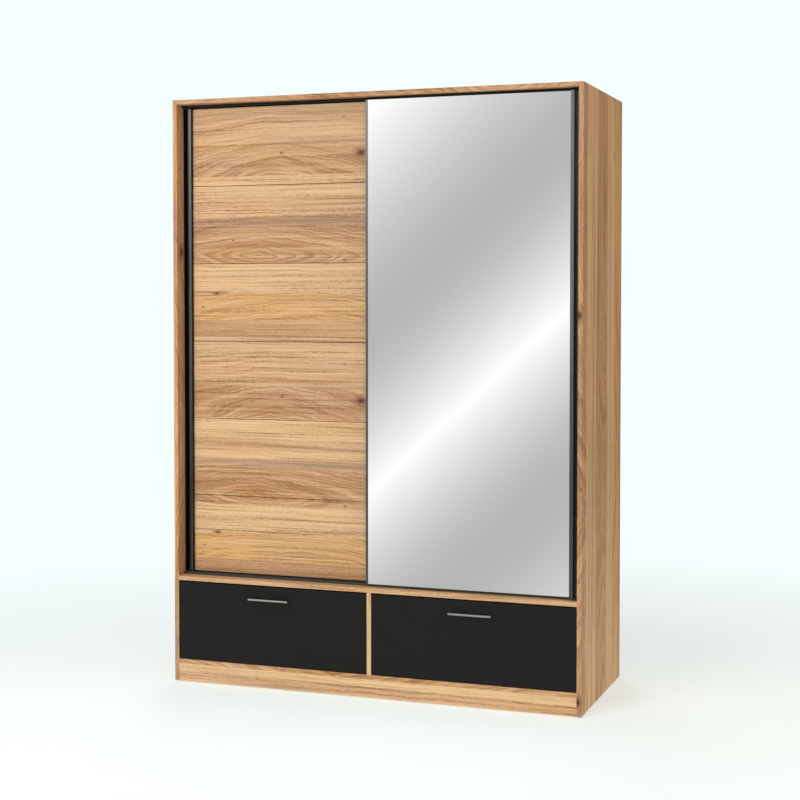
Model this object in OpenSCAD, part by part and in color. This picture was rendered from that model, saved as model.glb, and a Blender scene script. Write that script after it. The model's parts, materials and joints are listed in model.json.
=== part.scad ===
// Wardrobe with two sliding doors above two drawers.
// The origin is on the floor, below the middle of the overall width and depth.
// +X is the viewer's right when facing the doors, -Y is the front and +Z is up.
// A setback is a distance behind the front edges of the side panels.

/* [Carcass] */
// Overall width
body_w = 1500; // [1490:10:1600]
// Depth without the drawer handles
body_d = 600; // [600:5:640]
// Overall height
body_h = 2090; // [2000:10:2200]
// Thickness of the carcass boards
board_t = 16; // [16:1:18]
// Height of the plinth, floor to underside of the bottom panel
plinth_h = 66; // [60:1:80]
// Clear height of the drawer bays
drawer_bay_h = 286; // [270:1:320]

/* [Doors] */
// How far the two doors overlap at the middle when closed
door_overlap = 40; // [30:5:50]
// Travel of each door
door_travel = 700; // [600:10:700]
// Distance between the two grooves of a track, front to back
track_pitch = 44; // [44:1:46]
// Height of a track
track_h = 8; // [8:1:9]
// Boards stacked in the left door
door_board_count = 6; // [3:1:8]

/* [Interior] */
// Adjustable shelves in the left compartment
shelf_count = 3; // [2:1:4]
// Clear height above the hat shelves
hat_gap = 320; // [280:10:360]
// Outer diameter of the clothes rail
rail_d = 25; // [22:1:28]

/* [Drawers] */
// Length of the drawer runners and of the drawer sides
runner_len = 500; // [450:50:500]
// Height of the drawer sides
drawer_side_h = 190; // [150:5:200]
// Distance from a drawer front to the front of its handle
handle_reach = 30; // [28:1:36]
// Spacing of the handle screws
handle_pitch = 128; // [96:32:160]

/* [Hidden] */
$fn = 48;

// Colours
oak = "#c89b69";
hardboard = "#b08a5f";
anthracite = "#4a4c48";
matt_black = "#282725";
grey_board = "#8d8b87";
steel = "#a5a3a0";
zinc = "#b9bcc0";
white_plastic = "#e6e6e2";
black_plastic = "#1b1b1b";
mirror_grey = "#c9ccd0";

// Carcass planes
half_w = body_w / 2;
inner_x = half_w - board_t;
half_t = board_t / 2;
front_y = -(body_d - handle_reach) / 2;
rear_y = front_y + body_d;
glide_h = 3;
bay_z0 = plinth_h + board_t;
bay_z1 = bay_z0 + drawer_bay_h;
floor_z = bay_z1 + board_t;
ceiling_z = body_h - board_t;

// Back panels, set in a rebate of the side panels and nailed on
hardboard_t = 3;
nail_head_h = 0.5;
nail_head_d = 4;
nail_d = 1.6;
nail_grip = 14;
back_y = rear_y - nail_head_h - hardboard_t;
rebate_w = 8;

// Tracks: two grooves each, the front one for the right door
track_setback = 40;
groove_w = 7;
groove_setback = 47;
track_base_t = 2;
track_wall_t = groove_setback - groove_w / 2 - track_setback;
track_rib_t = 2;
track_d = track_pitch + groove_w + 2 * track_wall_t;
track_end_gap = 1;
track_screw_step = 230;

// Doors: every piece is drawn for the right door; the left one is its mirror image, one groove back
door_t = 16;
door_gap = 2;
lip_setback = 9;
lip_depth = 16;
lip_w = 14;
lip_r = 3;
grip_w = 14;
sheet_t = 1.5;
door_s0 = lip_setback + lip_depth;
door_s1 = door_s0 + door_t;
door_z0 = floor_z + track_h + door_gap;
door_z1 = ceiling_z - track_h - door_gap;
door_x0 = -door_overlap / 2;
door_x1 = inner_x - door_gap;
door_board_x0 = door_x0 + sheet_t;
door_board_x1 = door_x1 - grip_w - sheet_t;
mirror_t = 4;

// Door running gear
wheel_r = 11;
wheel_w = 5;
axle_d = 4;
axle_play = 0.1;
rolling_gap = 0.3;
wheel_z = floor_z + track_base_t + rolling_gap + wheel_r;
wheel_inset = 55;
wheel_x = [door_x0 + wheel_inset, door_x1 - wheel_inset];
cheek_s = groove_setback + 3.3;
cheek_z0 = door_z0 - 1;
cheek_z1 = wheel_z + wheel_r + 4;
screw_d = 3.5;
screw_hole_d = 4;
screw_head_d = 7;

// Interior
interior_y = front_y + 115;
hat_z = ceiling_z - hat_gap - board_t;
shelf_pitch = (hat_z - floor_z) / (shelf_count + 1);
shelf_z = [for (i = [1:shelf_count]) floor_z + i * shelf_pitch];
shelf_play = 1;
shelf_setback = 5;
shelf_rear_gap = 2;
pin_d = 5;
pin_y = [interior_y + 45, back_y - 60];
pin_play = 0.1;
pin_drop = pin_d / 2 + pin_play;
pin_hole_deep = 7;
pin_grip = 6.5;
pin_reach = 8;
pin_collar_d = 8;
pin_collar_t = 0.8;
pin_row_pitch = 32;
rail_y = (interior_y + back_y) / 2;
rail_z = hat_z - 60;
bracket_x = 500;
bracket_leg = 40;
bracket_w = 30;
bracket_t = 2;
bracket_screw_y = back_y - bracket_leg + 12;
wall_hole_d = 6;
wall_hole_z = ceiling_z - 24;

// Drawers: two bays, one on each side of the divider
bay_half_w = (inner_x - half_t) / 2;
bay_x = half_t + bay_half_w;
front_gap = 2;
front_z0 = bay_z0 + 3;
front_z1 = bay_z1 - 4;
front_back_y = front_y + board_t;
drawer_side_t = 12;
runner_gap = 12.5;
runner_t = 1.2;
runner_y = front_back_y + 2;
runner_z = bay_z0 + 18;
runner_h = 28;
runner_reach = 11;
drawer_z = runner_z + 13.2;
drawer_y1 = front_back_y + runner_len;
drawer_side_x = bay_half_w - runner_gap;
drawer_inner_x = drawer_side_x - drawer_side_t;
drawer_bottom_z = drawer_z + 8.8;
groove_deep = 6;
roller_r = 9;
roller_w = 7;
carry_z = runner_z + 24.8;
front_roller_y = runner_y + 12;
front_roller_z = carry_z - rolling_gap - roller_r;
rear_roller_y = drawer_y1 - 12;
rear_roller_z = runner_z + runner_t + rolling_gap + roller_r;
handle_z = front_z1 - 44;
bar_d = 8;
bar_y = front_y - handle_reach + bar_d / 2;
bar_overhang = 12;

// Box between two opposite corners
module block(low, high) {
    translate(low) cube(high - low);
}

// Rods along each axis
module rod_x(d, x0, x1, y, z) {
    translate([x0, y, z]) rotate([0, 90, 0]) cylinder(d = d, h = x1 - x0);
}

module rod_y(d, y0, y1, x, z) {
    translate([x, y0, z]) rotate([-90, 0, 0]) cylinder(d = d, h = y1 - y0);
}

module rod_z(d, z0, z1, x, y) {
    translate([x, y, z0]) cylinder(d = d, h = z1 - z0);
}

// Sections drawn as (setback, height), (x, setback) and (x, z), pushed along the third axis
module push_x(x0, x1, z) {
    translate([x0, front_y, z]) rotate([90, 0, 90]) linear_extrude(x1 - x0) children();
}

module push_z(z0, z1) {
    translate([0, front_y, z0]) linear_extrude(z1 - z0) children();
}

module push_y(y0, y1) {
    translate([0, y1, 0]) rotate([90, 0, 0]) linear_extrude(y1 - y0) children();
}

// The children and their mirror image across the middle of the wardrobe
module both_sides() {
    children();
    mirror([1, 0, 0]) children();
}

// ---- Carcass ----

// Blind holes for shelf pins: a shelf's own row and one row above and below it
module pin_holes(x0, x1, heights) {
    for (z = heights, k = [-1:1], y = pin_y) {
        rod_x(pin_d, x0, x1, y, z - pin_drop + k * pin_row_pitch);
    }
}

// Side panel with the rebate for the back panel, drawn on the right
module side_panel(heights) {
    difference() {
        block([inner_x, front_y, glide_h], [half_w, rear_y, body_h]);
        block([inner_x - 1, back_y, glide_h - 1], [inner_x + rebate_w, rear_y + 1, body_h + 1]);
        pin_holes(inner_x - 1, inner_x + pin_hole_deep, heights);
    }
}

module side_panel_left() {
    color(oak) mirror([1, 0, 0]) side_panel(concat(shelf_z, [hat_z]));
}

module side_panel_right() {
    color(oak) side_panel([hat_z]);
}

// Horizontal board between the side panels, with pockets for its cam fittings on one face
module cross_board(z, cam_side) {
    difference() {
        block([-inner_x, front_y, z], [inner_x, back_y, z + board_t]);
        both_sides() cam_places(z, cam_side) {
            translate([0, 0, -cam_h - 0.4]) cylinder(d = cam_d + 0.4, h = cam_h + 1.4);
            rod_x(8, 0, cam_inset + 1, 0, -half_t);
        }
    }
}

module top_panel() {
    color(oak) cross_board(ceiling_z, 1);
}

module compartment_floor() {
    color(oak) cross_board(bay_z1, -1);
}

module bottom_panel() {
    color(oak) cross_board(plinth_h, -1);
}

module plinth_board(y) {
    block([-inner_x, y, glide_h], [inner_x, y + board_t, plinth_h]);
}

module plinth_front() {
    color(oak) plinth_board(front_y);
}

plinth_rear_y = rear_y - 30;

module plinth_rear() {
    color(oak) plinth_board(plinth_rear_y);
}

module base_support() {
    color(oak) block([-half_t, front_back_y, glide_h], [half_t, plinth_rear_y, plinth_h]);
}

module drawer_divider() {
    color(oak) block([-half_t, front_y, bay_z0], [half_t, back_y, bay_z1]);
}

module centre_partition() {
    color(oak) difference() {
        block([-half_t, interior_y, floor_z], [half_t, back_y, ceiling_z]);
        pin_holes(-half_t - 1, -half_t + pin_hole_deep, concat(shelf_z, [hat_z]));
        pin_holes(half_t - pin_hole_deep, half_t + 1, [hat_z]);
    }
}

// ---- Back ----

back_play = 0.5;
back_edge_x = inner_x + rebate_w - back_play;
back_split_z = bay_z1 + half_t;
back_top_z = body_h - 6;
back_bottom_z = plinth_h + 6;

module upper_back_panel() {
    difference() {
        block([back_play, back_y, back_split_z + back_play], [back_edge_x, back_y + hardboard_t, back_top_z]);
        rod_y(wall_hole_d, back_y - 1, rear_y, bracket_x, wall_hole_z);
    }
}

module back_panel_left() {
    color(hardboard) mirror([1, 0, 0]) upper_back_panel();
}

module back_panel_right() {
    color(hardboard) upper_back_panel();
}

module back_panel_lower() {
    color(hardboard)
        block([-back_edge_x, back_y, back_bottom_z],
            [back_edge_x, back_y + hardboard_t, back_split_z - back_play]);
}

module nail(x, z) {
    rod_y(nail_d, back_y - nail_grip, back_y + hardboard_t, x, z);
    rod_y(nail_head_d, back_y + hardboard_t, rear_y, x, z);
}

module back_nails() {
    side_x = inner_x + rebate_w / 2;
    rows = [back_top_z - 5, back_split_z + 4, back_split_z - 4, back_bottom_z + 5];
    color(zinc) {
        both_sides() {
            for (x = [side_x, half_t / 2], z = [floor_z + 60:240:ceiling_z - 30]) nail(x, z);
            for (x = [100:200:inner_x - 30], z = rows) nail(x, z);
            nail(side_x, (bay_z0 + bay_z1) / 2);
        }
        nail(0, (bay_z0 + bay_z1) / 2);
    }
}

// ---- Interior ----

module shelf_board(z) {
    block([half_t + shelf_play, interior_y + shelf_setback, z],
        [inner_x - shelf_play, back_y - shelf_rear_gap, z + board_t]);
}

module hat_shelves() {
    color(oak) both_sides() shelf_board(hat_z);
}

module shelves() {
    color(oak) mirror([1, 0, 0]) for (z = shelf_z) shelf_board(z);
}

// The four pins of a shelf, drawn in the right compartment
module pins(z) {
    for (y = pin_y) {
        rod_x(pin_d - pin_play, half_t - pin_grip, half_t + pin_reach, y, z - pin_drop);
        rod_x(pin_collar_d, half_t, half_t + pin_collar_t, y, z - pin_drop);
        rod_x(pin_d - pin_play, inner_x - pin_reach, inner_x + pin_grip, y, z - pin_drop);
        rod_x(pin_collar_d, inner_x - pin_collar_t, inner_x, y, z - pin_drop);
    }
}

module shelf_pins() {
    color(zinc) {
        pins(hat_z);
        mirror([1, 0, 0]) for (z = concat(shelf_z, [hat_z])) pins(z);
    }
}

rail_wall_t = 1.2;
rail_play = 0.3;
rail_flange_t = 3;
rail_flange_d = rail_d + 21;
rail_cup_d = rail_d + 6;
rail_cup_h = 14;

module clothes_rail() {
    x0 = half_t + rail_flange_t + rail_play;
    x1 = inner_x - rail_flange_t - rail_play;
    color(zinc) difference() {
        rod_x(rail_d, x0, x1, rail_y, rail_z);
        rod_x(rail_d - 2 * rail_wall_t, x0 - 1, x1 + 1, rail_y, rail_z);
    }
}

rail_screw_r = rail_d / 2 + 6.8;

// The three screw places round a rail support, as (y, z) offsets
rail_screws = [for (a = [90, 210, 330]) [rail_screw_r * cos(a), rail_screw_r * sin(a)]];

// Cup that holds a rail end: x is the board's face and dir points into the compartment
module rail_support(x, dir) {
    translate([x, rail_y, rail_z]) rotate([0, dir * 90, 0]) difference() {
        union() {
            cylinder(d = rail_flange_d, h = rail_flange_t);
            cylinder(d = rail_cup_d, h = rail_cup_h);
        }
        translate([0, 0, rail_flange_t]) cylinder(d = rail_d + rail_play, h = rail_cup_h);
        for (p = rail_screws) {
            translate([-dir * p[1], p[0], -1]) cylinder(d = screw_hole_d, h = rail_flange_t + 2);
        }
    }
}

module rail_supports() {
    color(zinc) {
        rail_support(half_t, 1);
        rail_support(inner_x, -1);
    }
}

module wall_bracket() {
    difference() {
        union() {
            block([bracket_x - bracket_w / 2, back_y - bracket_t, ceiling_z - bracket_leg],
                [bracket_x + bracket_w / 2, back_y, ceiling_z]);
            block([bracket_x - bracket_w / 2, back_y - bracket_leg, ceiling_z - bracket_t],
                [bracket_x + bracket_w / 2, back_y, ceiling_z]);
        }
        rod_y(wall_hole_d, back_y - bracket_t - 1, back_y + 1, bracket_x, wall_hole_z);
        rod_z(screw_hole_d, ceiling_z - bracket_t - 1, ceiling_z + 1, bracket_x, bracket_screw_y);
    }
}

module wall_brackets() {
    color(zinc) both_sides() wall_bracket();
}

// ---- Tracks ----

track_middle_s = groove_setback + track_pitch / 2;
track_screw_x = [for (x = [-3:3]) x * track_screw_step];

// Section of the bottom track, standing on height 0
module track_section() {
    channel_s = groove_setback + groove_w / 2 + track_rib_t;
    difference() {
        translate([track_setback, 0]) square([track_d, track_h]);
        for (s = [groove_setback, groove_setback + track_pitch]) {
            translate([s - groove_w / 2, track_base_t]) square([groove_w, track_h]);
        }
        translate([channel_s, track_base_t])
            square([track_pitch - groove_w - 2 * track_rib_t, track_h]);
    }
}

// Track standing on height 0, drilled for its screws
module track() {
    difference() {
        push_x(-inner_x + track_end_gap, inner_x - track_end_gap, 0) track_section();
        for (x = track_screw_x) rod_z(screw_hole_d, -1, track_base_t + 1, x, front_y + track_middle_s);
    }
}

module bottom_track() {
    color(anthracite) translate([0, 0, floor_z]) track();
}

module top_track() {
    color(anthracite) translate([0, 0, ceiling_z]) mirror([0, 0, 1]) track();
}

buffer_l = 12;
buffer_gap = 1;

// Rubber stops beyond the reach of the right door's wheels, drawn in the front groove
module groove_buffers() {
    reach = wheel_r + buffer_gap;
    for (x = [wheel_x[1] + reach, wheel_x[0] - door_travel - reach - buffer_l]) {
        block([x, front_y + groove_setback - groove_w / 2, floor_z + track_base_t],
            [x + buffer_l, front_y + groove_setback + groove_w / 2, floor_z + track_h]);
    }
}

module door_buffers() {
    color(black_plastic) {
        groove_buffers();
        left_door() groove_buffers();
    }
}

// ---- Feet and fasteners ----

glide_d = 14;
glide_spike_d = 2;
glide_spike_h = 12;

module floor_glides() {
    color(black_plastic) for (x = [-half_w + half_t, 0, half_w - half_t], y = [front_y + 60, rear_y - 60]) {
        rod_z(glide_d, 0, glide_h, x, y);
        rod_z(glide_spike_d, glide_h, glide_h + glide_spike_h, x, y);
    }
}

cam_d = 15;
cam_h = 12.2;
cam_inset = 34;

// Right-hand cam places of a cross board: the children's origin is on the board's face, above the cam,
// with +X towards the side panel and +Z out of the board
module cam_places(z, cam_side) {
    for (y = [front_y + 120, rear_y - 80]) {
        translate([inner_x - cam_inset, y, cam_side > 0 ? z + board_t : z])
            mirror([0, 0, cam_side > 0 ? 0 : 1]) children();
    }
}

// Cam with its bolt, which is screwed into the side panel
module cam_fitting() {
    difference() {
        translate([0, 0, -cam_h - 0.2]) cylinder(d = cam_d, h = cam_h);
        rod_x(7, 0, cam_d, 0, -half_t);
        for (a = [0, 90]) rotate([0, 0, a]) translate([-4, -0.8, -2.2]) cube([8, 1.6, 3]);
    }
    rod_x(6, 4, cam_inset + 11, 0, -half_t);
}

module cam_fittings() {
    color(zinc) both_sides() {
        cam_places(ceiling_z, 1) cam_fitting();
        cam_places(bay_z1, -1) cam_fitting();
        cam_places(plinth_h, -1) cam_fitting();
    }
}

// Pan-head screw pointing down, with its head standing on height 0
module screw(grip) {
    translate([0, 0, -grip]) cylinder(d = screw_d, h = grip);
    cylinder(d = screw_head_d - 1, h = 1.4);
}

runner_screw_y = [for (s = [40, 250, 430]) runner_y + s];
runner_screw_z = runner_z + 21.4;

module fixing_screws() {
    color(zinc) {
        for (x = track_screw_x) {
            translate([x, front_y + track_middle_s, floor_z + track_base_t]) screw(12);
            translate([x, front_y + track_middle_s, ceiling_z - track_base_t]) mirror([0, 0, 1]) screw(12);
        }
        both_sides() {
            translate([bracket_x, bracket_screw_y, ceiling_z - bracket_t]) mirror([0, 0, 1]) screw(14);
        }
        for (p = rail_screws) {
            translate([half_t + rail_flange_t, rail_y + p[0], rail_z + p[1]]) rotate([0, 90, 0]) screw(10);
            translate([inner_x - rail_flange_t, rail_y + p[0], rail_z + p[1]]) rotate([0, -90, 0]) screw(12);
        }
        for (bay = [-bay_x, bay_x]) bay_walls(bay) for (y = runner_screw_y) {
            rod_x(3, -7, runner_t, y, runner_screw_z);
            rod_x(5, runner_t, runner_t + 0.7, y, runner_screw_z);
        }
    }
}

// ---- Doors ----

module left_door() {
    mirror([1, 0, 0]) translate([0, track_pitch, 0]) children();
}

// Folded section with the grip lip, in (x, setback); x runs inwards from the door's outer edge
module handle_section() {
    difference() {
        union() {
            translate([grip_w, lip_setback + lip_r]) square([lip_w, lip_depth - lip_r]);
            translate([grip_w + lip_r, lip_setback]) square([lip_w - 2 * lip_r, lip_r]);
            for (x = [lip_r, lip_w - lip_r]) translate([grip_w + x, lip_setback + lip_r]) circle(lip_r);
            translate([grip_w, door_s0]) square([sheet_t, door_t + sheet_t]);
            translate([0, door_s1]) square([grip_w + lip_w, sheet_t]);
            translate([0, door_s1 - 8]) square([sheet_t, 8]);
        }
        translate([grip_w + sheet_t, lip_setback + sheet_t])
            square([lip_w - 2 * sheet_t, lip_depth - 2 * sheet_t]);
    }
}

module handle_profile() {
    color(anthracite) push_z(door_z0, door_z1) translate([door_x1, 0]) mirror([1, 0]) handle_section();
}

// Channel that clips over the door's inner edge
module edge_profile() {
    color(anthracite) push_z(door_z0, door_z1) translate([door_x0, door_s0 - sheet_t]) {
        square([sheet_t, door_t + 2 * sheet_t]);
        square([8, sheet_t]);
        translate([0, door_t + sheet_t]) square([12, sheet_t]);
    }
}

// Boards stacked edge to edge, with a small chamfer along each front joint
module door_boards() {
    pitch = (door_z1 - door_z0) / door_board_count;
    gap = 0.4;
    chamfer = 1;
    color(oak) for (i = [0:door_board_count - 1]) {
        push_x(door_board_x0, door_board_x1, door_z0 + i * pitch + gap / 2)
            polygon([
                [door_s1, 0], [door_s1, pitch - gap], [door_s0 + chamfer, pitch - gap],
                [door_s0, pitch - gap - chamfer], [door_s0, chamfer], [door_s0 + chamfer, 0]
            ]);
    }
}

// Slab of the mirror door between two setbacks
module door_slab(s0, s1) {
    block([door_board_x0, front_y + s0, door_z0], [door_board_x1, front_y + s1, door_z1]);
}

carriage_half_w = 25;
carriage_z1 = door_z0 + 56;
carriage_screw_x = [-15, 15];
carriage_screw_z = door_z0 + 40;
cheek_half_w = 14;

// Bracket that carries one wheel behind the foot of a door
module carriage() {
    plate_y = front_y + door_s1;
    face_y = plate_y + sheet_t;
    cheek_y = front_y + cheek_s;
    difference() {
        block([-carriage_half_w, plate_y, cheek_z0], [carriage_half_w, face_y, carriage_z1]);
        for (x = carriage_screw_x) rod_y(screw_hole_d, plate_y - 1, face_y + 1, x, carriage_screw_z);
    }
    block([-cheek_half_w, face_y, cheek_z1 - sheet_t], [cheek_half_w, cheek_y, cheek_z1]);
    block([-cheek_half_w, cheek_y, cheek_z0], [cheek_half_w, cheek_y + sheet_t, cheek_z1]);
    rod_y(axle_d, face_y, cheek_y, 0, wheel_z);
    for (x = carriage_screw_x) translate([x, face_y, carriage_screw_z]) rotate([-90, 0, 0]) screw(11);
}

module carriages() {
    color(zinc) for (x = wheel_x) translate([x, 0, 0]) carriage();
}

web_recess = 0.8;
wheel_rim = 2.5;
hub_d = 9;

// Running wheel with a recessed web on each face
module wheel() {
    color(white_plastic) translate([0, front_y + groove_setback, wheel_z]) rotate([90, 0, 0]) difference() {
        cylinder(r = wheel_r, h = wheel_w, center = true);
        cylinder(d = axle_d + axle_play, h = wheel_w + 2, center = true);
        for (m = [0, 1]) mirror([0, 0, m]) translate([0, 0, wheel_w / 2 - web_recess]) difference() {
            cylinder(r = wheel_r - wheel_rim, h = 2);
            translate([0, 0, -1]) cylinder(d = hub_d, h = 4);
        }
    }
}

guide_l = 36;
guide_d = 10.3;
guide_h = 30;
guide_screw_x = [-11, 11];
guide_screw_z = door_z1 - guide_h / 2;

// Block with a pin that runs in the top track
module guide() {
    head_s = door_s1 + 6;
    difference() {
        block([-guide_l / 2, front_y + door_s1, door_z1 - guide_h],
            [guide_l / 2, front_y + door_s1 + guide_d, door_z1]);
        for (x = guide_screw_x) {
            rod_y(screw_hole_d, front_y + door_s1 - 1, front_y + head_s + 1, x, guide_screw_z);
            rod_y(screw_head_d + 0.6, front_y + head_s, front_y + door_s1 + 20, x, guide_screw_z);
        }
    }
    rod_z(groove_w - 1, door_z1, ceiling_z - track_base_t - 0.5, 0, front_y + groove_setback);
    for (x = guide_screw_x) {
        translate([x, front_y + head_s, guide_screw_z]) rotate([-90, 0, 0]) screw(16);
    }
}

module guides() {
    color(black_plastic) for (x = wheel_x) translate([x, 0, 0]) guide();
}

module door_left_boards() {
    left_door() door_boards();
}

module door_left_handle_profile() {
    left_door() handle_profile();
}

module door_left_edge_profile() {
    left_door() edge_profile();
}

module door_left_carriages() {
    left_door() carriages();
}

// Wheel 1 is the one near a door's outer edge
module door_left_wheel_1() {
    left_door() translate([wheel_x[1], 0, 0]) wheel();
}

module door_left_wheel_2() {
    left_door() translate([wheel_x[0], 0, 0]) wheel();
}

module door_left_guides() {
    left_door() guides();
}

module door_right_board() {
    color(matt_black) door_slab(door_s0 + mirror_t, door_s1);
}

module door_right_mirror() {
    color(mirror_grey) door_slab(door_s0, door_s0 + mirror_t);
}

module door_right_handle_profile() {
    handle_profile();
}

module door_right_edge_profile() {
    edge_profile();
}

module door_right_carriages() {
    carriages();
}

module door_right_wheel_1() {
    translate([wheel_x[1], 0, 0]) wheel();
}

module door_right_wheel_2() {
    translate([wheel_x[0], 0, 0]) wheel();
}

module door_right_guides() {
    guides();
}

// ---- Drawers ----

// The children drawn against both walls of a drawer bay, with x = 0 on the wall and +x into the bay
module bay_walls(bay) {
    translate([bay, 0, 0]) for (m = [0, 1]) mirror([m, 0, 0]) translate([-bay_half_w, 0, 0]) children();
}

// Channel fixed to a bay wall, with the axle of its front roller
module cabinet_runner() {
    difference() {
        push_y(runner_y, runner_y + runner_len) {
            translate([0, runner_z]) square([runner_t, runner_h]);
            translate([0, runner_z]) square([runner_reach, runner_t]);
            translate([0, runner_z + runner_h - runner_t]) square([runner_reach, runner_t]);
        }
        for (y = runner_screw_y) rod_x(3.4, -1, runner_t + 1, y, runner_screw_z);
    }
    rod_x(axle_d, runner_t / 2, runner_t + 9, front_roller_y, front_roller_z);
}

module cabinet_runners() {
    color(zinc) for (bay = [-bay_x, bay_x]) bay_walls(bay) cabinet_runner();
}

module roller(x, y, z) {
    color(white_plastic) difference() {
        rod_x(2 * roller_r, x, x + roller_w, y, z);
        rod_x(axle_d + axle_play, x - 1, x + roller_w + 1, y, z);
    }
}

module cabinet_rollers(bay) {
    bay_walls(bay) roller(2, front_roller_y, front_roller_z);
}

module drawer_rollers(bay) {
    bay_walls(bay) roller(2.2, rear_roller_y, rear_roller_z);
}

// Rail under a drawer side: its outer flange rides on the front roller, its axle carries the rear one
module drawer_runner() {
    web_x = runner_gap - runner_t;
    y0 = front_back_y;
    push_y(y0, drawer_y1) {
        translate([web_x, drawer_z - runner_t]) square([runner_t, carry_z + 2 * runner_t - drawer_z]);
        translate([2, carry_z]) square([web_x + runner_t - 2, runner_t]);
        translate([web_x, drawer_z - runner_t]) square([runner_t + drawer_side_t, runner_t]);
    }
    block([web_x, drawer_y1 - 30, rear_roller_z - 5], [runner_gap, drawer_y1, drawer_z]);
    for (y = [y0 + 40:200:drawer_y1 - 40]) {
        translate([runner_gap + drawer_side_t / 2, y, drawer_z - runner_t]) mirror([0, 0, 1]) screw(9);
    }
    rod_x(axle_d, 1.5, runner_gap - runner_t / 2, rear_roller_y, rear_roller_z);
}

module drawer_runners(bay) {
    color(zinc) bay_walls(bay) drawer_runner();
}

post_d = 7;
handle_screw_d = 4;
handle_screw_head_d = 8;
handle_screw_deep = 8;

// Where a bay's handle posts and their screws are along X
function handle_posts(bay) = [bay - handle_pitch / 2, bay + handle_pitch / 2];

module drawer_front(bay) {
    half = bay_half_w - front_gap;
    color(matt_black) difference() {
        block([bay - half, front_y, front_z0], [bay + half, front_back_y, front_z1]);
        for (x = handle_posts(bay)) rod_y(handle_screw_d + 1, front_y - 1, front_back_y + 1, x, handle_z);
    }
}

module drawer_sides(bay) {
    color(grey_board) bay_walls(bay) difference() {
        block([runner_gap, front_back_y, drawer_z],
            [runner_gap + drawer_side_t, drawer_y1, drawer_z + drawer_side_h]);
        block([runner_gap + drawer_side_t - groove_deep, front_back_y - 1, drawer_bottom_z],
            [runner_gap + drawer_side_t + 1, drawer_y1 + 1, drawer_bottom_z + hardboard_t]);
    }
}

module drawer_back(bay) {
    color(grey_board) block(
        [bay - drawer_inner_x, drawer_y1 - drawer_side_t, drawer_bottom_z + hardboard_t],
        [bay + drawer_inner_x, drawer_y1, drawer_z + drawer_side_h]);
}

module drawer_bottom(bay) {
    half = drawer_inner_x + groove_deep;
    color(hardboard) block([bay - half, front_back_y, drawer_bottom_z],
        [bay + half, drawer_y1, drawer_bottom_z + hardboard_t]);
}

// Bar handle on two posts
module drawer_handle(bay) {
    end = handle_pitch / 2 + bar_overhang;
    bevel = 0.8;
    color(steel) difference() {
        union() {
            rod_x(bar_d, bay - end + bevel, bay + end - bevel, bar_y, handle_z);
            for (a = [-90, 90]) translate([bay + sign(a) * (end - bevel), bar_y, handle_z])
                rotate([0, a, 0]) cylinder(d1 = bar_d, d2 = bar_d - 2 * bevel, h = bevel);
            for (x = handle_posts(bay)) rod_y(post_d, bar_y, front_y, x, handle_z);
        }
        for (x = handle_posts(bay)) {
            rod_y(handle_screw_d + 0.2, front_y - handle_screw_deep - 1, front_y + 1, x, handle_z);
        }
    }
}

module drawer_handle_screws(bay) {
    color(zinc) for (x = handle_posts(bay)) {
        rod_y(handle_screw_d, front_y - handle_screw_deep, front_back_y, x, handle_z);
        rod_y(handle_screw_head_d, front_back_y, front_back_y + 2.5, x, handle_z);
    }
}

side_panel_left();
side_panel_right();
top_panel();
compartment_floor();
bottom_panel();
plinth_front();
plinth_rear();
base_support();
drawer_divider();
centre_partition();
back_panel_left();
back_panel_right();
back_panel_lower();
back_nails();
hat_shelves();
shelves();
shelf_pins();
clothes_rail();
rail_supports();
top_track();
bottom_track();
door_buffers();
floor_glides();
cam_fittings();
wall_brackets();
cabinet_runners();
fixing_screws();
cabinet_rollers(-bay_x);  // cabinet_rollers_left
cabinet_rollers(bay_x);  // cabinet_rollers_right
drawer_rollers(-bay_x);  // drawer_rollers_left
drawer_rollers(bay_x);  // drawer_rollers_right
door_left_boards();
door_left_handle_profile();
door_left_edge_profile();
door_left_carriages();
door_left_wheel_1();
door_left_wheel_2();
door_left_guides();
door_right_board();
door_right_mirror();
door_right_handle_profile();
door_right_edge_profile();
door_right_carriages();
door_right_wheel_1();
door_right_wheel_2();
door_right_guides();
drawer_front(-bay_x);  // drawer_left_front
drawer_sides(-bay_x);  // drawer_left_sides
drawer_back(-bay_x);  // drawer_left_back
drawer_bottom(-bay_x);  // drawer_left_bottom
drawer_handle(-bay_x);  // drawer_left_handle
drawer_handle_screws(-bay_x);  // drawer_left_handle_screws
drawer_runners(-bay_x);  // drawer_left_runners
drawer_front(bay_x);  // drawer_right_front
drawer_sides(bay_x);  // drawer_right_sides
drawer_back(bay_x);  // drawer_right_back
drawer_bottom(bay_x);  // drawer_right_bottom
drawer_handle(bay_x);  // drawer_right_handle
drawer_handle_screws(bay_x);  // drawer_right_handle_screws
drawer_runners(bay_x);  // drawer_right_runners
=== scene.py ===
"""Sliding door wardrobe: materials, softened edges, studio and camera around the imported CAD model.

Lengths are in metres, in the frame of the CAD model: +X is the viewer's right, -Y the front, +Z up.
"""

import json
import math

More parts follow.
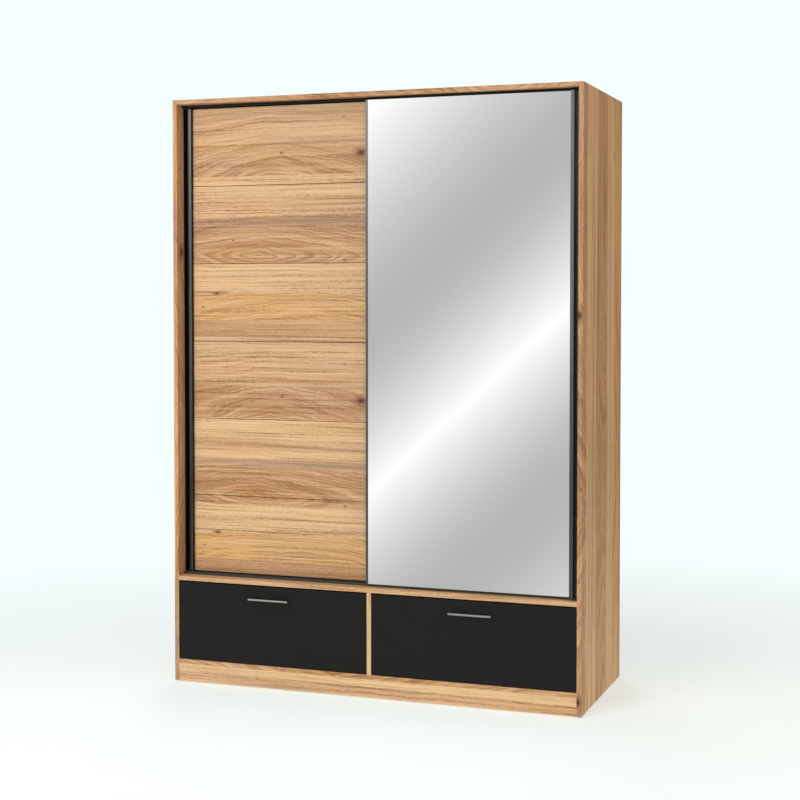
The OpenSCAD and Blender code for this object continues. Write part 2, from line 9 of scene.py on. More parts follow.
import bmesh
import bpy
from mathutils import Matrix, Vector


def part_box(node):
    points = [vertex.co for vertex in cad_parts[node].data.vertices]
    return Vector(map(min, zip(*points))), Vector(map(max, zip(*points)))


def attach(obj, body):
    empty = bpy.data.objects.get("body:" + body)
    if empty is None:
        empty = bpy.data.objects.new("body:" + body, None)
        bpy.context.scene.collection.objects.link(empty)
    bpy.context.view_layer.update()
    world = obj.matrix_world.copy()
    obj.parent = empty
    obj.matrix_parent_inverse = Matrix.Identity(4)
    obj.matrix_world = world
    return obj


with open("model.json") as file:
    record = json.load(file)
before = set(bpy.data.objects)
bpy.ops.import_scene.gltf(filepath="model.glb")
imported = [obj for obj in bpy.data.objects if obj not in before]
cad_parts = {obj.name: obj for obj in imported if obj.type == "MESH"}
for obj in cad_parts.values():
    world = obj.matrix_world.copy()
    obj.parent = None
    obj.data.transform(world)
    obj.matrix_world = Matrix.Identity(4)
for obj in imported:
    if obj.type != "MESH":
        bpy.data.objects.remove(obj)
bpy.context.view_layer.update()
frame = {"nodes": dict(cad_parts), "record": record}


# ---------------------------------------------------------------- shader building


def srgb(red, green, blue):
    """Linear colour from 8-bit sRGB values."""
    return tuple(
        v / 12.92 if v <= 0.04045 else ((v + 0.055) / 1.055) ** 2.4
        for v in (red / 255, green / 255, blue / 255)
    )


def scaled(colour, factor):
    """A linear colour, lighter or darker."""
    return tuple(factor * channel for channel in colour)


class Shader:
    """Adds nodes to one node tree. Its methods take sockets or plain values and return sockets."""

    def __init__(self, tree):
        self.tree = tree

    def put(self, socket, value):
        """Link a socket to an input, or set the input to a plain value."""
        if isinstance(value, bpy.types.NodeSocket):
            self.tree.links.new(value, socket)
        elif isinstance(value, tuple) and len(value) == 3 and len(socket.default_value) == 4:
            socket.default_value = (*value, 1.0)
        else:
            socket.default_value = value

    def node(self, kind, **inputs):
        """New node; an input named with underscores is the socket of that name with spaces."""
        made = self.tree.nodes.new(kind)
        for name, value in inputs.items():
            self.put(made.inputs[name.replace("_", " ")], value)
        return made

    def math(self, operation, *values):
        made = self.tree.nodes.new("ShaderNodeMath")
        made.operation = operation
        for socket, value in zip(made.inputs, values):
            self.put(socket, value)
        return made.outputs[0]

    def add(self, a, b):
        return self.math("ADD", a, b)

    def sub(self, a, b):
        return self.math("SUBTRACT", a, b)

    def mul(self, a, b):
        return self.math("MULTIPLY", a, b)

    def length(self, a, b):
        return self.math("SQRT", self.add(self.mul(a, a), self.mul(b, b)))

    def fit(self, value, low, high, to_low=0.0, to_high=1.0):
        """value mapped from low..high to to_low..to_high, and held beyond both ends."""
        made = self.node("ShaderNodeMapRange", Value=value)
        made.inputs["From Min"].default_value = low
        made.inputs["From Max"].default_value = high
        made.inputs["To Min"].default_value = to_low
        made.inputs["To Max"].default_value = to_high
        return made.outputs["Result"]

    def noise(self, x, y, z, detail=2.0, roughness=0.5):
        """Noise from 0 to 1, with a mean of 0.5."""
        place = self.node("ShaderNodeCombineXYZ", X=x, Y=y, Z=z).outputs[0]
        made = self.node("ShaderNodeTexNoise", Vector=place, Scale=1.0, Detail=detail, Roughness=roughness)
        return made.outputs[0]

    def wave(self, x, y, z, amount, detail=2.0):
        """Noise centred on zero that reaches about amount either way."""
        return self.mul(self.sub(self.noise(x, y, z, detail), 0.5), 2 * amount)

    def ramp(self, value, stops, interpolation="LINEAR"):
        """Colour ramp from (position, colour) pairs."""
        made = self.node("ShaderNodeValToRGB", Fac=value)
        made.color_ramp.interpolation = interpolation
        elements = made.color_ramp.elements
        while len(elements) < len(stops):
            elements.new(1.0)
        for element, (position, colour) in zip(elements, stops):
            element.position = position
            element.color = (*colour, 1.0)
        return made.outputs["Color"]

    def mix(self, share, a, b):
        """Colour a with a share of colour b over it."""
        made = self.tree.nodes.new("ShaderNodeMix")
        made.data_type = "RGBA"
        factor, _, _, _, _, _, colour_a, colour_b = made.inputs[:8]
        self.put(factor, share)
        self.put(colour_a, a)
        self.put(colour_b, b)
        return made.outputs[2]

    def place(self):
        """The point on the part, in metres along X, Y and Z."""
        coordinates = self.tree.nodes.new("ShaderNodeTexCoord")
        return self.node("ShaderNodeSeparateXYZ", Vector=coordinates.outputs["Object"]).outputs[:3]

    def solid_noise(self, scales, detail, roughness=0.5):
        """Noise through the part, with a scale for each of X, Y and Z."""
        x, y, z = (self.mul(value, scale) for value, scale in zip(self.place(), scales))
        return self.noise(x, y, z, detail, roughness)

    def facing(self, axis):
        """1 on faces square to an axis, either way round, and 0 on faces along it."""
        normal = self.tree.nodes.new("ShaderNodeNewGeometry").outputs["Normal"]
        return self.math("ABSOLUTE", self.node("ShaderNodeSeparateXYZ", Vector=normal).outputs[axis])

    def blend_shaders(self, share, a, b):
        """Shader a with a share of shader b instead."""
        made = self.node("ShaderNodeMixShader", Fac=share)
        self.put(made.inputs[1], a)
        self.put(made.inputs[2], b)
        return made.outputs[0]


def empty_material(name):
    """New material without nodes, and its Shader."""
    material = bpy.data.materials.new(name)
    material.use_nodes = True
    material.node_tree.nodes.clear()
    return material, Shader(material.node_tree)


def new_material(name, **principled):
    """New material with one Principled shader: the material, its Shader and the Principled node."""
    material, sh = empty_material(name)
    bsdf = sh.node("ShaderNodeBsdfPrincipled", **principled)
    sh.node("ShaderNodeOutputMaterial", Surface=bsdf.outputs[0])
    return material, sh, bsdf


def finish_surface(sh, bsdf, colour, roughness, height, relief):
    """Colour, roughness and a fine relief (metres) for a Principled shader."""
    sh.put(bsdf.inputs["Base Color"], colour)
    sh.put(bsdf.inputs["Roughness"], roughness)
    bump = sh.node("ShaderNodeBump", Height=height, Distance=relief)
    sh.put(bsdf.inputs["Normal"], bump.outputs[0])


# ---------------------------------------------------------------- oak decor

# The printed decor is a row of staves that repeats across the grain every DECOR_REPEAT, and is
# mirrored along the grain every DECOR_LENGTH, so a long board shows no seam.
DECOR_REPEAT = 0.863
DECOR_LENGTH = 1.30

# Tones of the staves
PALE = srgb(229, 187, 139)
SAND = srgb(216, 172, 128)
TAN = srgb(202, 154, 109)
GOLD = srgb(220, 170, 110)
GREY = srgb(197, 155, 119)

# A stave has its far edge, its tone, and the heart that its growth rings curl round: how far along
# and across it is, and how much the rings are drawn out (small is straight grain).
STAVES = [
    (0.020, PALE, (0.30, 0.20, 0.04)),
    (0.130, SAND, (0.55, 0.26, 0.08)),
    (0.246, TAN, (0.36, 0.262, 0.26)),
    (0.317, PALE, (0.60, 0.52, 0.03)),
    (0.364, SAND, (0.20, 0.55, 0.05)),
    (0.388, PALE, (0.50, 0.60, 0.03)),
    (0.424, GREY, (0.30, 0.56, 0.08)),
    (0.556, TAN, (0.27, 0.528, 0.19)),
    (0.660, PALE, (0.40, 0.88, 0.05)),
    (0.758, GOLD, (0.40, 0.80, 0.16)),
    (0.819, TAN, (0.30, 1.00, 0.03)),
    (0.863, SAND, (0.50, 0.60, 0.04)),
]

# Tones laid over the staves
ROSY_PATCH = srgb(202, 164, 132)
AMBER_PATCH = srgb(216, 164, 102)
DARK_FIBRE = srgb(136, 90, 50)
LIGHT_FIBRE = srgb(246, 210, 165)
LATE_WOOD = srgb(130, 82, 40)
PORE = srgb(124, 82, 50)
EMBER = srgb(172, 104, 58)
SMOKED = srgb(140, 112, 90)
KNOT_RIM = srgb(142, 90, 54)
KNOT_CORE = srgb(84, 46, 32)
BOARD_JOINT = srgb(60, 38, 24)

# Spots on the decor: along, across, half length, half height
KNOTS = [
    (0.60, 0.048, 0.003, 0.002),
    (0.36, 0.167, 0.004, 0.003),
    (0.662, 0.175, 0.016, 0.011),
    (0.17, 0.474, 0.002, 0.002),
    (0.60, 0.546, 0.004, 0.002),
    (0.105, 0.663, 0.011, 0.004),
    (0.05, 0.712, 0.003, 0.002),
]
SMOKE = [
    (0.55, 0.131, 0.20, 0.004),
    (0.60, 0.350, 0.12, 0.004),
    (0.50, 0.408, 0.28, 0.010),
    (0.30, 0.820, 0.12, 0.003),
]
EMBERS = [
    (0.30, 0.222, 0.06, 0.012),
    (0.25, 0.496, 0.10, 0.011),
    (0.41, 0.492, 0.03, 0.010),
]

RINGS_PER_METRE = 78.0
RING_POINTEDNESS = 1.45  # 2 would make the rings plain ovals, 1 diamonds


def stave_steps(sh, place, values):
    """One value per stave, as a colour."""
    starts = [0.0] + [edge / DECOR_REPEAT for edge, _, _ in STAVES[:-1]]
    return sh.ramp(place, list(zip(starts, values)), "CONSTANT")


def spots(sh, along, across, places, reach):
    """Rises to 1 at the middle of each place from 0 at reach times its half sizes."""
    total = 0.0
    for spot_along, spot_across, half_length, half_height in places:
        off_along = sh.mul(sh.sub(along, spot_along), 1 / half_length)
        off_across = sh.mul(sh.sub(across, spot_across), 1 / half_height)
        total = sh.add(sh.fit(sh.length(off_along, off_across), reach, 0.0), total)
    return total


def growth_rings(sh, along, across, seed, heart, knots):
    """Distance from the heart of the stave, in pointed ovals that swell round knots.

    Long slow waves bend every stave; quick ones make only the flames of a curly stave ragged.
    """
    heart_along, heart_across, drawn = heart
    slow = sh.wave(sh.mul(along, 2.2), sh.mul(across, 6.0), seed, 0.028)
    quick = sh.wave(sh.mul(along, 12.0), sh.mul(across, 22.0), seed, 0.013, 3.0)
    bend = sh.add(slow, sh.mul(quick, sh.fit(drawn, 0.04, 0.24, 0.12, 1.0)))
    off_across = sh.math("ABSOLUTE", sh.add(sh.sub(across, heart_across), bend))
    off_along = sh.math("ABSOLUTE", sh.mul(sh.sub(along, heart_along), drawn))
    powers = [sh.math("POWER", off, RING_POINTEDNESS) for off in (off_across, off_along)]
    distance = sh.math("POWER", sh.add(*powers), 1 / RING_POINTEDNESS)
    return sh.add(distance, sh.mul(knots, 0.012))


def ring_lines(sh, along, across, seed, rings, drawn):
    """Dark late wood: each ring darkens slowly and ends sharply. Straight grain shows it faintly."""
    uneven = sh.wave(sh.mul(rings, 30.0), seed, 0.0, 0.022, 3.0)
    tooth = sh.math("FRACT", sh.mul(sh.add(rings, uneven), RINGS_PER_METRE))
    line = sh.mul(sh.math("POWER", tooth, 2.4), sh.fit(tooth, 0.92, 1.0, 1.0, 0.0))
    clear = sh.noise(sh.mul(along, 2.0), sh.mul(across, 22.0), seed)
    strength = sh.mul(sh.fit(clear, 0.36, 0.62, 0.15, 1.0), sh.fit(drawn, 0.05, 0.20, 0.48, 1.0))
    return sh.mul(line, strength)


def fibre_shade(sh, along, across, seed, rings, fibre):
    """Light and dark along the grain, about zero: streaks that follow the rings, fibres, specks."""
    streak_across = sh.add(sh.mul(across, 14.0), sh.mul(rings, 64.0))
    streak = sh.noise(sh.mul(along, 0.8), streak_across, seed, 4.0, 0.62)
    speck = sh.noise(sh.mul(along, 75.0), sh.mul(across, 400.0), seed, 2.0, 0.6)
    shade = sh.add(sh.mul(sh.sub(streak, 0.5), 1.3), sh.mul(sh.sub(fibre, 0.5), 1.45))
    return sh.add(shade, sh.mul(sh.sub(speck, 0.5), 0.9))


def oak_group():
    """Node group from (Along, Across, Seed) to the decor's Color and its Grain height."""
    tree = bpy.data.node_groups.new("oak_decor", "ShaderNodeTree")
    for name in ("Along", "Across", "Seed"):
        tree.interface.new_socket(name, in_out="INPUT", socket_type="NodeSocketFloat")
    tree.interface.new_socket("Color", in_out="OUTPUT", socket_type="NodeSocketColor")
    tree.interface.new_socket("Grain", in_out="OUTPUT", socket_type="NodeSocketFloat")
    sh = Shader(tree)
    along, across, seed = tree.nodes.new("NodeGroupInput").outputs[:3]

    # Which stave, and where in it
    place = sh.math("FLOORED_MODULO", across, DECOR_REPEAT)
    repeated = sh.math("PINGPONG", along, DECOR_LENGTH)
    wavy_edge = sh.wave(sh.mul(along, 3.0), 0.0, seed, 0.002)
    share = sh.mul(sh.add(place, wavy_edge), 1 / DECOR_REPEAT)
    tone = stave_steps(sh, share, [stave_tone for _, stave_tone, _ in STAVES])
    hearts = stave_steps(sh, share, [stave_heart for _, _, stave_heart in STAVES])
    heart = sh.node("ShaderNodeSeparateColor", Color=hearts).outputs[:3]

    knots = spots(sh, repeated, place, KNOTS, 3.0)
    embers = spots(sh, repeated, place, EMBERS, 1.8)
    smoke = spots(sh, repeated, place, SMOKE, 1.8)
    rings = growth_rings(sh, repeated, place, seed, heart, knots)
    lines = ring_lines(sh, along, across, seed, rings, heart[2])
    fibre = sh.noise(sh.mul(along, 1.3), sh.mul(across, 170.0), seed, 3.0, 0.6)
    shade = fibre_shade(sh, along, across, seed, rings, fibre)
    pores = sh.fit(sh.noise(sh.mul(along, 12.0), sh.mul(across, 520.0), seed, 1.0), 0.60, 0.76)
    patch = sh.noise(sh.mul(along, 2.2), sh.mul(across, 13.0), sh.add(seed, 9.0))

    layers = [
        (sh.fit(patch, 0.48, 0.75, 0.0, 0.45), ROSY_PATCH),
        (sh.fit(patch, 0.42, 0.25, 0.0, 0.40), AMBER_PATCH),
        (sh.fit(shade, -0.03, -0.45, 0.0, 0.90), DARK_FIBRE),
        (sh.fit(shade, 0.0, 0.5, 0.0, 0.60), LIGHT_FIBRE),
        (sh.mul(lines, 0.78), LATE_WOOD),
        (sh.mul(pores, 0.35), PORE),
        (sh.mul(embers, 0.40), EMBER),
        (sh.mul(smoke, 0.55), SMOKED),
        (sh.fit(knots, 0.10, 0.70, 0.0, 0.60), KNOT_RIM),
        (sh.fit(knots, 0.62, 0.88, 0.0, 0.90), KNOT_CORE),
    ]
    colour = tone
    for strength, over in layers:
        colour = sh.mix(strength, colour, over)

    relief = sh.sub(sh.sub(fibre, sh.mul(lines, 0.4)), sh.mul(pores, 0.8))
    outside = tree.nodes.new("NodeGroupOutput")
    sh.put(outside.inputs["Color"], colour)
    sh.put(outside.inputs["Grain"], relief)
    return tree


def oak_material(node, decor, grain, seed, along_shift, across_shift):
    """Oak decor on one board, with its grain along an axis. The stacked door boards have dark joints."""
    low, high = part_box(node)
    material, sh, bsdf = new_material("oak_" + node, Specular_IOR_Level=0.18)
    x, y, z = sh.place()
    from_corner = [sh.sub(x, low.x), sh.sub(y, low.y), sh.sub(high.z, z)]
    one, other = [from_corner[axis] for axis in range(3) if axis != grain]
    oak = sh.tree.nodes.new("ShaderNodeGroup")
    oak.node_tree = decor
    sh.put(oak.inputs["Along"], sh.add(from_corner[grain], along_shift))
    sh.put(oak.inputs["Across"], sh.add(sh.add(one, other), across_shift))
    oak.inputs["Seed"].default_value = seed
    colour = oak.outputs["Color"]
    if node == "door_left_boards":
        colour = sh.mix(sh.fit(sh.facing("Z"), 0.3, 0.6, 0.0, 0.80), colour, BOARD_JOINT)
    roughness = sh.fit(oak.outputs["Grain"], -0.6, 0.8, 0.62, 0.48)
    finish_surface(sh, bsdf, colour, roughness, oak.outputs["Grain"], 0.00012)
    return material


# ---------------------------------------------------------------- other finishes


def laminate(name, colour, low_roughness, high_roughness):
    """Plain melamine board: faint cloudiness and a fine pearl relief."""
    material, sh, bsdf = new_material(name, Specular_IOR_Level=0.15)
    cloud = sh.solid_noise((9.0, 9.0, 9.0), 3.0)
    pearl = sh.solid_noise((900.0, 900.0, 900.0), 2.0)
    both = sh.add(sh.mul(cloud, 0.5), sh.mul(pearl, 0.5))
    tone = sh.ramp(both, [(0.3, scaled(colour, 0.86)), (0.7, scaled(colour, 1.14))])
    roughness = sh.fit(cloud, 0.3, 0.7, low_roughness, high_roughness)
    finish_surface(sh, bsdf, tone, roughness, pearl, 0.00008)
    return material


def hardboard_material():
    """Pressed fibre: short hairs, darker specks and lighter clouds."""
    material, sh, bsdf = new_material("hardboard", Specular_IOR_Level=0.3)
    hairs = sh.solid_noise((420.0, 60.0, 420.0), 4.0, 0.7)
    specks = sh.fit(sh.solid_noise((150.0, 50.0, 150.0), 2.0), 0.62, 0.75)
    cloud = sh.solid_noise((5.0, 5.0, 5.0), 3.0)
    tone = sh.ramp(hairs, [(0.3, srgb(138, 104, 72)), (0.7, srgb(184, 146, 106))])
    tone = sh.mix(sh.fit(cloud, 0.35, 0.70, 0.0, 0.35), tone, srgb(190, 154, 116))
    tone = sh.mix(sh.mul(specks, 0.5), tone, srgb(104, 74, 48))
    finish_surface(sh, bsdf, tone, sh.fit(hairs, 0.3, 0.7, 0.72, 0.58), hairs, 0.00015)
    return material


def drawn_metal(name, colour, metallic, roughness, direction, painted_shade=False):
    """Metal drawn or rolled along an axis (0 X, 1 Y, 2 Z): fine lines along it, faint smudges.

    Flag for painted shade: faces square to X are painted near black as shade, and the other faces get
    painted shade that darkens them towards the floor, so their tops look lit.
    """
    material, sh, bsdf = new_material(name, Metallic=metallic)
    scales = [700.0, 700.0, 700.0]
    scales[direction] = 6.0
    lines = sh.solid_noise(scales, 3.0, 0.6)
    smudge = sh.solid_noise((14.0, 14.0, 14.0), 3.0)
    tone = sh.ramp(lines, [(0.3, scaled(colour, 0.80)), (0.7, scaled(colour, 1.20))])
    if painted_shade:
        # Painted shade: the profile darkens towards the floor, so its upper part looks lit from above.
        height = sh.place()[2]
        tone = sh.mix(sh.fit(height, 1.9, 0.7, 0.0, 0.66), tone, (0.020, 0.020, 0.019))
        # Painted shade: the flanks, faces square to X, are painted near black as if in shadow.
        tone = sh.mix(sh.fit(sh.facing("X"), 0.6, 0.9, 0.0, 0.92), tone, (0.002, 0.002, 0.002))
    uneven = sh.add(sh.mul(lines, 0.5), sh.mul(smudge, 0.5))
    gloss = sh.fit(uneven, 0.35, 0.65, roughness - 0.05, roughness + 0.07)
    finish_surface(sh, bsdf, tone, gloss, lines, 0.00003)
    return material


def moulded_plastic(name, colour, roughness):
    """Moulded plastic: fine spark-eroded grain with slightly shinier patches."""
    material, sh, bsdf = new_material(name, Specular_IOR_Level=0.45)
    grain = sh.solid_noise((1400.0, 1400.0, 1400.0), 2.0)
    cloud = sh.solid_noise((40.0, 40.0, 40.0), 2.0)
    tone = sh.ramp(cloud, [(0.3, colour), (0.7, scaled(colour, 1.10))])
    finish_surface(sh, bsdf, tone, sh.fit(cloud, 0.3, 0.7, roughness, roughness + 0.12), grain, 0.00004)
    return material


def mirror_material():
    """Silvered glass: a clear front with a trace of dust, and green ground edges."""
    material, sh, bsdf = new_material("mirror_glass", Metallic=1.0)
    edge = sh.fit(sh.facing("Y"), 0.9, 0.5)
    dust = sh.solid_noise((3.0, 3.0, 3.0), 4.0)
    tone = sh.ramp(dust, [(0.35, (0.955, 0.960, 0.960)), (0.65, (0.945, 0.950, 0.950))])
    tone = sh.mix(edge, tone, srgb(120, 150, 138))
    sh.put(bsdf.inputs["Base Color"], tone)
    sh.put(bsdf.inputs["Roughness"], sh.add(sh.fit(dust, 0.4, 0.7, 0.012, 0.020), sh.mul(edge, 0.25)))
    return material


def felt_and_shade_material(side):
    """Short black pile, near black also as painted shade for the gap beside the door."""
    material, sh, bsdf = new_material(f"black_felt_and_shade_{side}", Specular_IOR_Level=0.1)
    pile = sh.solid_noise((1500.0, 1500.0, 700.0), 3.0, 0.7)
    tone = sh.ramp(pile, [(0.35, (0.004, 0.004, 0.004)), (0.70, (0.016, 0.016, 0.015))])
    finish_surface(sh, bsdf, tone, sh.fit(pile, 0.3, 0.7, 0.98, 0.85), pile, 0.0002)
    return material


# ---------------------------------------------------------------- dressing the CAD nodes

# How a board is cut from the decor: the axis its grain runs along, then the shift along and across
BOARD_CUTS = {
    "door_left_boards": (0, 0.0, 0.0),
    "side_panel_left": (2, 0.12, 0.125),
    "side_panel_right": (2, -0.10, 0.172),
    "drawer_divider": (2, 0.20, 0.580),
    "top_panel": (0, 0.10, 0.195),
    "compartment_floor": (0, 0.50, 0.050),
    "bottom_panel": (0, 0.70, 0.450),
    "plinth_front": (0, 0.20, 0.295),
}

# Width of the small round on hard edges, by material slot; the thin hardboard keeps its sharp edges
EDGE_ROUND = {
    "oak": 0.0007,
    "oak_door": 0.0004,
    "black_board": 0.0008,
    "grey_board": 0.0005,
    "anthracite_metal": 0.0003,
    "handle_steel": 0.0008,
    "zinc": 0.0002,
    "white_plastic": 0.0003,
    "black_plastic": 0.0003,
    "mirror_glass": 0.0006,
}


def board_cut(node, index, size):
    """A board's cut from the decor. By default its grain runs along its longest side."""
    longest = max(range(3), key=lambda axis: size[axis])
    return BOARD_CUTS.get(node, (longest, 0.23 * index, 0.37 * index))


def plain_materials():
    """The materials that are the same on every part, by material slot."""
    return {
        "hardboard": hardboard_material(),
        "black_board": laminate("black_board", (0.0076, 0.0066, 0.0056), 0.52, 0.62),
        "grey_board": laminate("grey_board", (0.30, 0.29, 0.275), 0.50, 0.60),
        "zinc": drawn_metal("zinc", (0.52, 0.53, 0.54), 1.0, 0.34, 1),
        "handle_steel": drawn_metal("handle_steel", (0.31, 0.30, 0.29), 1.0, 0.32, 0),
        "white_plastic": moulded_plastic("white_plastic", (0.72, 0.72, 0.69), 0.38),
        "black_plastic": moulded_plastic("black_plastic", (0.014, 0.014, 0.014), 0.42),
        "mirror_glass": mirror_material(),
    }


def dress(node, material):
    """Give a CAD node its only material."""
    slots = frame["nodes"][node].data.materials
    slots.clear()
    slots.append(material)


def soften(node, width):
    """Small round on the part's hard edges."""
    part = frame["nodes"][node]
    weld = part.modifiers.new("weld", "WELD")
    weld.merge_threshold = 0.00001
    bevel = part.modifiers.new("edge_round", "BEVEL")
    bevel.width = width
    bevel.segments = 2
    bevel.limit_method = "ANGLE"
    bevel.angle_limit = math.radians(40)
    part.modifiers.new("even_shading", "WEIGHTED_NORMAL")


def dress_all():
    """A material on every CAD node, and rounded edges on all but the hardboard."""
    decor = oak_group()
    plain = plain_materials()
    rails = drawn_metal("anthracite_rail", (0.044, 0.045, 0.040), 0.35, 0.40, 0)
    # The top rail is the same anthracite as the lower rails, painted darker as shade under the top panel.
    painted_shade_top_rail = drawn_metal("anthracite_top_rail", (0.020, 0.020, 0.020), 1.0, 0.42, 0)
    # The uprights carry painted shade: near-black flanks and darkening towards the floor.
    uprights = drawn_metal("anthracite_upright", (0.200, 0.206, 0.200), 1.0, 0.26, 2, painted_shade=True)
    for index, part in enumerate(frame["record"]["subparts"]):
        node, slot = part["node"], part["material_slot"]
        low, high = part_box(node)
        size = high - low
        if slot in ("oak", "oak_door"):
            grain, along, across = board_cut(node, index, size)
            material = oak_material(node, decor, grain, 3.7 * index, along, across)
        elif slot != "anthracite_metal":
            material = plain[slot]
        elif node == "top_track":
            material = painted_shade_top_rail
        else:
            material = rails if size.x > size.z else uprights
        dress(node, material)
        if slot in EDGE_ROUND:
            soften(node, EDGE_ROUND[slot])


# ---------------------------------------------------------------- felt strips, black also as painted shade in the door gaps

STRIP_T = 0.0012
STRIP_ROUND = 0.0004


def felt_and_shade_strip(side):
    """Black felt strip on a side panel, where the door's outer edge closes against it; its black also
    stands in as painted shade for the gap.
    """
    profile_low, profile_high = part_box(f"door_{side}_handle_profile")
    panel_low, panel_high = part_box(f"side_panel_{side}")
    wall, inwards = (panel_high.x, 1) if side == "left" else (panel_low.x, -1)
    outline = [
        (0.0, profile_low.y),
        (STRIP_T - STRIP_ROUND, profile_low.y),
        (STRIP_T, profile_low.y + STRIP_ROUND),
        (STRIP_T, profile_high.y - STRIP_ROUND),
        (STRIP_T - STRIP_ROUND, profile_high.y),
        (0.0, profile_high.y),
    ]
    made = bmesh.new()
    face = made.faces.new([made.verts.new((wall + inwards * x, y, profile_low.z)) for x, y in outline])
    grown = bmesh.ops.extrude_face_region(made, geom=[face])["geom"]
    tops = [item for item in grown if isinstance(item, bmesh.types.BMVert)]
    bmesh.ops.translate(made, verts=tops, vec=(0, 0, profile_high.z - profile_low.z))
    bmesh.ops.recalc_face_normals(made, faces=made.faces)
    mesh = bpy.data.meshes.new(f"felt_and_shade_strip_{side}")
    made.to_mesh(mesh)
    made.free()
    strip = bpy.data.objects.new(f"felt_and_shade_strip_{side}", mesh)
    bpy.context.scene.collection.objects.link(strip)
    strip.data.materials.append(felt_and_shade_material(side))
    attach(strip, "carcass")


# ---------------------------------------------------------------- studio

BACKGROUND_TINT = (0.922, 1.0, 1.0)

FLOOR_REACH = 4.0
FLOOR_SHADE = (0.66, 0.716, 0.716)
FLOOR_LIGHT = (0.67, 0.726, 0.726)
FLOOR_GLOW = 0.45
FADE_START = 1.3
FADE_END = 3.2

# The card has a white crest with a grey trough on either side of it; both slant up to the right.
# Its heights are those of the bands at x = 0, and its tones are shares of white as displayed.
CARD_Y = -2.1
CARD_HALF_WIDTH = 3
CARD_TOP = 3.4
CARD_SLOPE = 0.9
CARD_CREST = 1.11
CARD_TROUGH = 0.77
CARD_GREY = 0.723
CARD_ROUNDING = 0.35
RISE_TO_CREST = 0.60
RISE_OUTWARDS = 0.41
DISPLAY_POWER = 2.2


def studio_sheet(name, corners, material):
    """One four-sided sheet that belongs to the studio, not to the wardrobe."""
    mesh = bpy.data.meshes.new(name)
    mesh.from_pydata(corners, [], [(0, 1, 2, 3)])
    made = bpy.data.objects.new(name, mesh)
    made.data.materials.append(material)
    bpy.context.scene.collection.objects.link(made)
    return made


def studio_floor():
    """Pale floor that fades into the background away from the wardrobe."""
    material, sh = empty_material("studio_floor")
    x, y, _ = sh.place()
    cloud = sh.noise(sh.mul(x, 2.0), sh.mul(y, 2.0), 0.0, 3.0)
    tone = sh.ramp(cloud, [(0.3, FLOOR_SHADE), (0.7, FLOOR_LIGHT)])
    matt = sh.node("ShaderNodeBsdfPrincipled", Base_Color=tone, Roughness=0.9)
    sh.put(matt.inputs["Emission Color"], BACKGROUND_TINT)
    sh.put(matt.inputs["Emission Strength"], FLOOR_GLOW)
    clear = sh.node("ShaderNodeBsdfTransparent")
    fade = sh.fit(sh.length(x, y), FADE_START, FADE_END)
    surface = sh.blend_shaders(fade, matt.outputs[0], clear.outputs[0])
    sh.node("ShaderNodeOutputMaterial", Surface=surface)
    near, far = -FLOOR_REACH, FLOOR_REACH
    studio_sheet("studio_floor", [(near, near, 0), (far, near, 0), (far, far, 0), (near, far, 0)], material)


def reflected_card():
    """Graded card in front of the wardrobe that only reflections see."""
    material, sh = empty_material("reflected_card")
    x, _, z = sh.place()
    climb = sh.sub(z, sh.mul(x, CARD_SLOPE))
    from_crest = sh.math("ABSOLUTE", sh.sub(climb, CARD_CREST))
    from_trough = sh.sub(from_crest, CARD_TROUGH)
    rise = sh.sub(sh.length(from_trough, CARD_ROUNDING), CARD_ROUNDING)
    steepness = sh.fit(from_crest, CARD_TROUGH, CARD_TROUGH + 0.01, RISE_TO_CREST, RISE_OUTWARDS)
    display_value = sh.add(CARD_GREY, sh.mul(rise, steepness))
    linear_value = sh.math("POWER", display_value, DISPLAY_POWER)
    glow = sh.node("ShaderNodeEmission", Strength=linear_value)
    sh.node("ShaderNodeOutputMaterial", Surface=glow.outputs[0])
    left, right = -CARD_HALF_WIDTH, CARD_HALF_WIDTH
    bottom = [(left, CARD_Y, 0.0), (right, CARD_Y, 0.0)]
    top = [(right, CARD_Y, CARD_TOP), (left, CARD_Y, CARD_TOP)]
    card = studio_sheet("reflected_card", bottom + top, material)
    card.visible_camera = False
    card.visible_diffuse = False
    card.visible_shadow = False


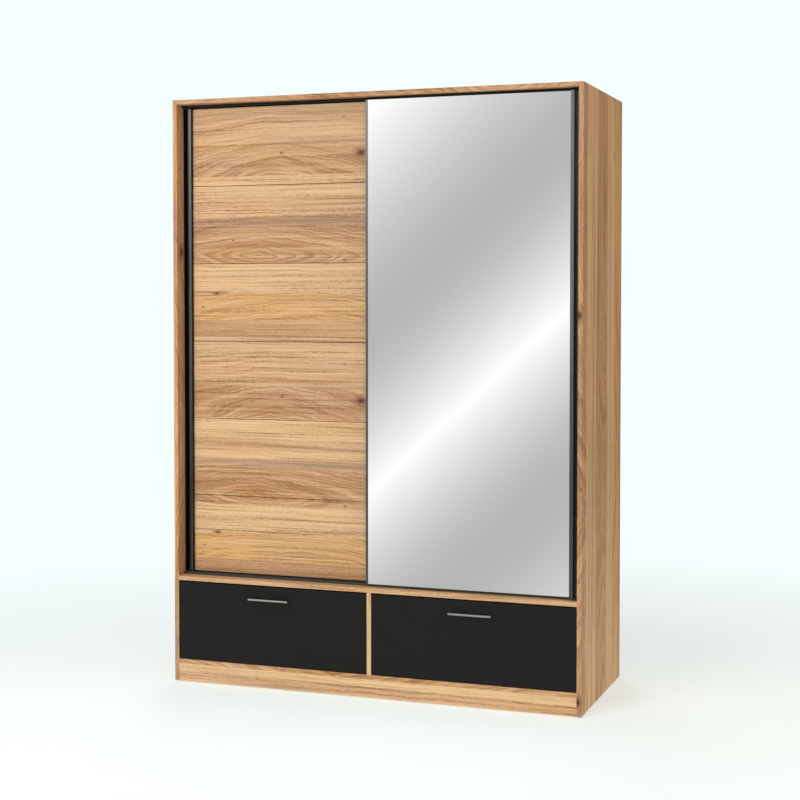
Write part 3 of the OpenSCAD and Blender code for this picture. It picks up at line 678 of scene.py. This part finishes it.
def soft_box(name, location, target, width, height, power, colour=(1.0, 1.0, 1.0)):
    """Rectangular light turned towards a target; power in watts."""
    light = bpy.data.lights.new(name, "AREA")
    light.shape = "RECTANGLE"
    light.size = width
    light.size_y = height
    light.energy = power
    light.color = colour
    made = bpy.data.objects.new(name, light)
    made.location = location
    made.rotation_euler = (Vector(target) - Vector(location)).to_track_quat("-Z", "Y").to_euler()
    bpy.context.scene.collection.objects.link(made)


def studio_lights():
    """Key light from the left front, one from above, a warm one on the right side, one behind."""
    soft_box("key_light", (-1.2, -3.9, 1.9), (0, 0, 0.9), 2.6, 2.6, 81)
    soft_box("top_light", (0.4, -2.6, 3.9), (0, -0.3, 1.6), 3.0, 1.2, 24)
    soft_box("side_light", (4.2, -0.6, 2.2), (0.7, 0, 1.0), 2.4, 2.4, 38, (1.0, 0.78, 0.48))
    soft_box("back_light", (-1.6, 4.0, 2.4), (0, 0.3, 1.0), 2.4, 2.4, 45)


def studio_world():
    """Even pale surroundings: brighter behind the wardrobe than the light they cast."""
    world = bpy.data.worlds.new("studio")
    bpy.context.scene.world = world
    world.use_nodes = True
    world.node_tree.nodes.clear()
    sh = Shader(world.node_tree)
    seen = sh.node("ShaderNodeBackground", Color=BACKGROUND_TINT, Strength=1.0)
    cast = sh.node("ShaderNodeBackground", Color=(1.0, 1.0, 1.0), Strength=0.33)
    path = world.node_tree.nodes.new("ShaderNodeLightPath")
    surface = sh.blend_shaders(path.outputs["Is Camera Ray"], cast.outputs[0], seen.outputs[0])
    sh.node("ShaderNodeOutputWorld", Surface=surface)


def camera():
    """The photograph's viewing angle: from the right, above the middle, looking slightly down."""
    data = bpy.data.cameras.new("camera")
    data.lens = 70.965
    data.sensor_width = 36.0
    data.shift_y = -0.06
    made = bpy.data.objects.new("camera", data)
    made.location = (1.942, -5.333, 1.395)
    made.rotation_euler = (math.radians(90 - 2.07), 0, math.radians(19.898))
    bpy.context.scene.collection.objects.link(made)
    bpy.context.scene.camera = made


dress_all()
for side in ("left", "right"):
    felt_and_shade_strip(side)
studio_floor()
reflected_card()
studio_world()
studio_lights()
camera()
bpy.context.scene.view_settings.view_transform = "Standard"
